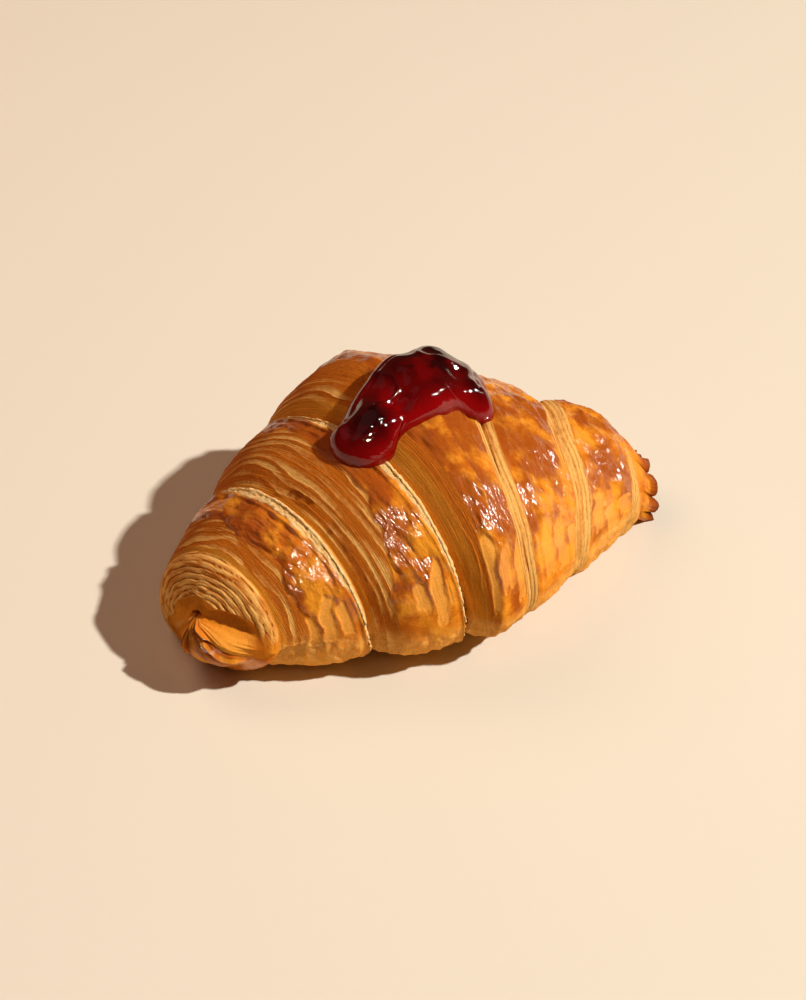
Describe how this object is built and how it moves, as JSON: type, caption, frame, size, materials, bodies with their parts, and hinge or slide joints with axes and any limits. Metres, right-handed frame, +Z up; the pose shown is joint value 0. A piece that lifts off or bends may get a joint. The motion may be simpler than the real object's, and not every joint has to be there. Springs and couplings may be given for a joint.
{
  "type": "croissant",
  "caption": "Rolled crescent pastry, a laminated dough loaf tapering to two coiled tips, with a spoonful of red jam resting on its crown.",
  "frame": {"origin": "centre of the loaf's plan box, on the surface it rests on", "axes": "+X from the left tip to the right tip, +Y to the back, +Z up"},
  "size_m": [0.1526, 0.1082, 0.0731],
  "materials": {
    "crust": "egg-washed golden brown pastry crust, satin to glossy, flaky at the layer edges",
    "jam": "wet, glossy, dark red fruit jam"
  },
  "bodies": {
    "root": {"croissant": "crust", "jam": "jam"}
  },
  "joints": []
}
